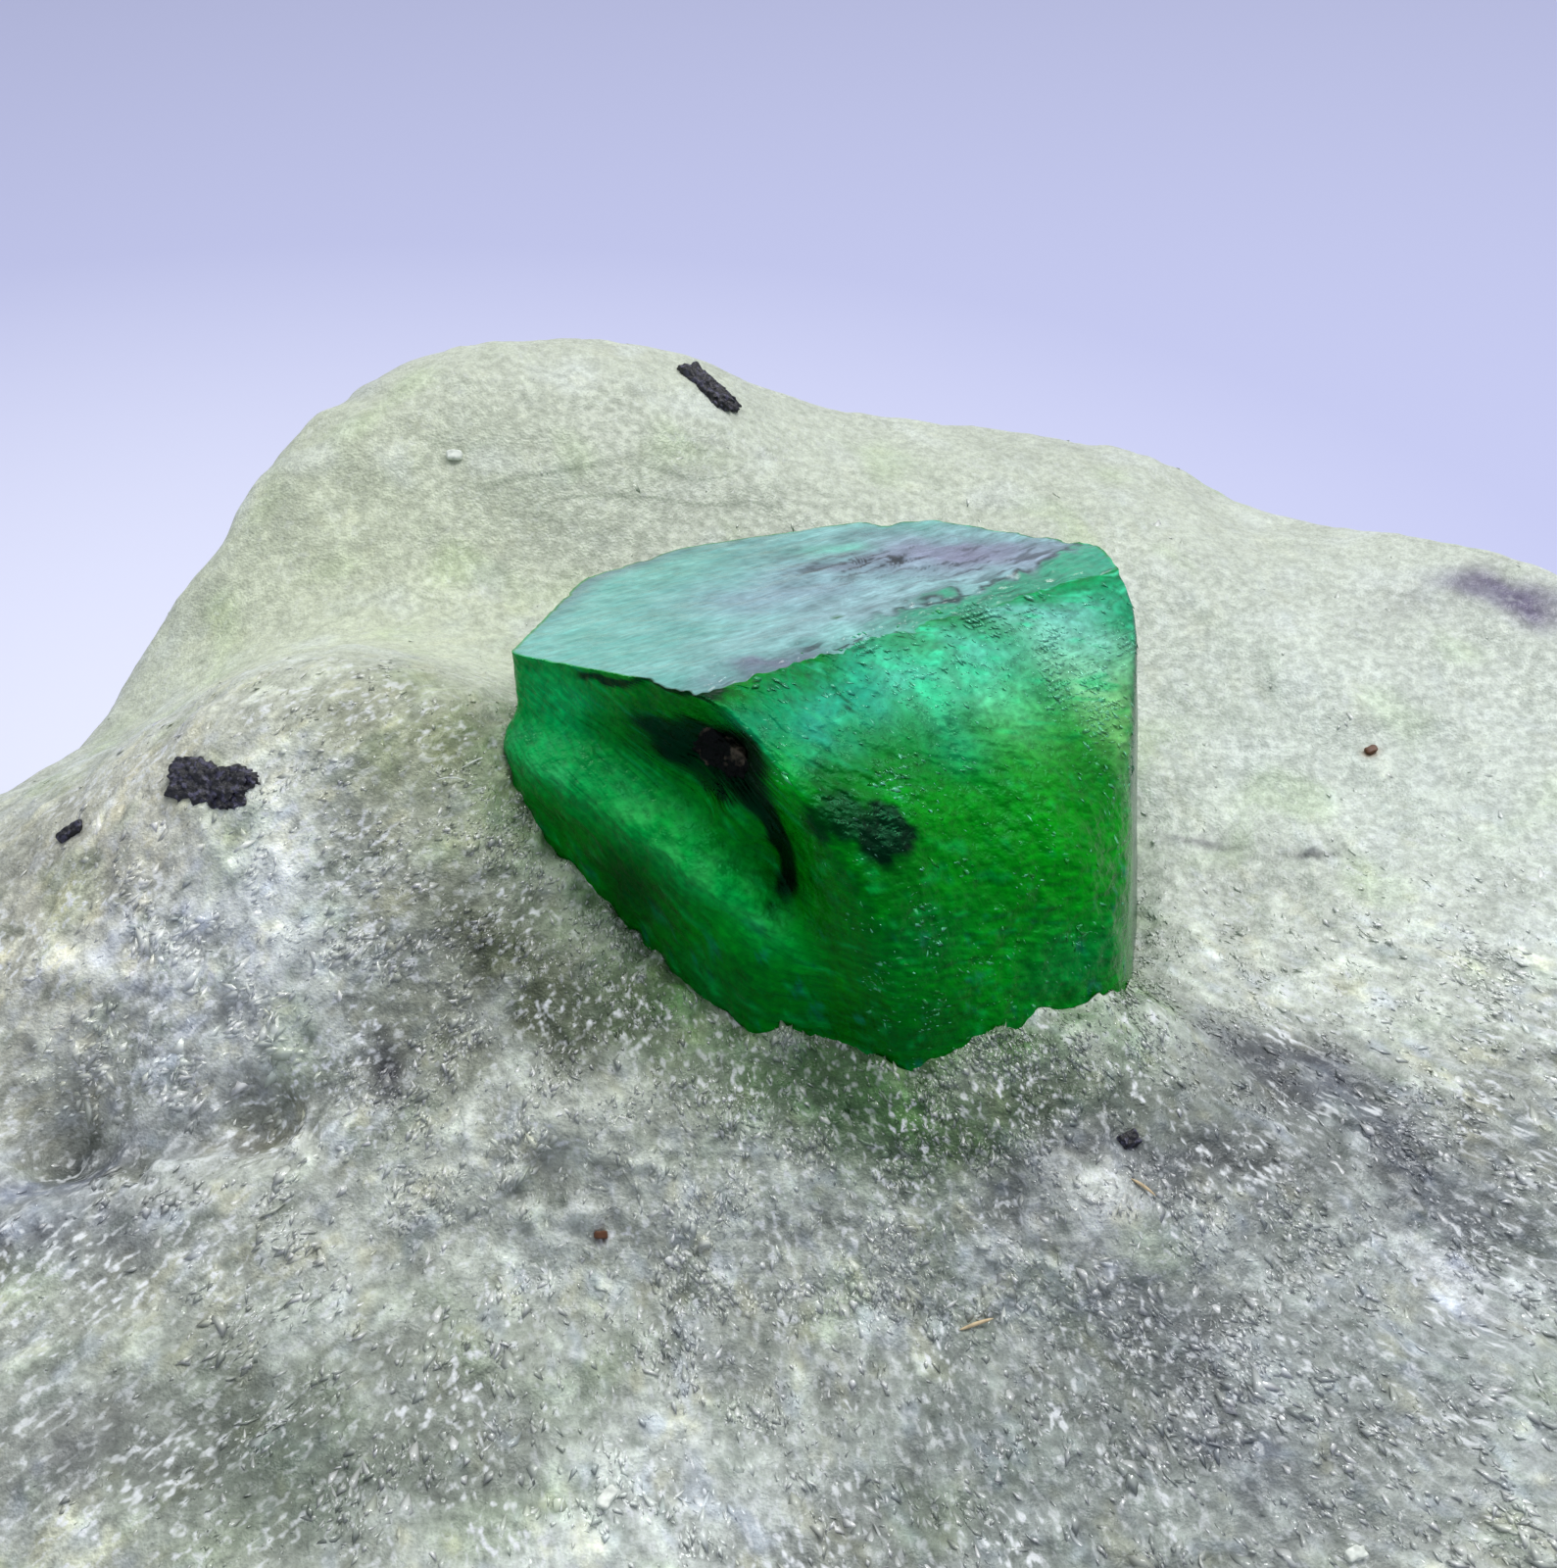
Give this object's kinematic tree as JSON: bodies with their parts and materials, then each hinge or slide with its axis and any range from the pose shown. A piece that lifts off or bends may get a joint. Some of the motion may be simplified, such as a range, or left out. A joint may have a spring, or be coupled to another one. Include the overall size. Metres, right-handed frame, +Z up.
{
  "type": "emerald in matrix",
  "caption": "Stout hexagonal green crystal with a flat end and a broken front, standing half sunk in a lump of pale grey-green granular rock with a flat base",
  "frame": {"origin": "on the flat base of the rock, straight under the foot of the crystal", "axes": "+Z is up, away from the base; -Y is towards the side that shows the crystal best, with its fracture; +X is to the right seen from there"},
  "size_m": [0.0425, 0.0349, 0.0249],
  "materials": {
    "talc_carbonate_rock": "granular, pale grey-green with small glints",
    "emerald": "translucent deep green, glossy flat end, frosted breaks",
    "dark_rock": "rough, dull",
    "black_mineral": "rough with a slight sheen"
  },
  "bodies": {
    "root": {"matrix": "talc_carbonate_rock", "emerald_crystal": "emerald", "dark_inclusion": "dark_rock", "black_grain_left": "black_mineral", "black_grain_far_left": "black_mineral", "black_grain_ridge": "black_mineral", "black_grain_front": "black_mineral"}
  },
  "joints": []
}
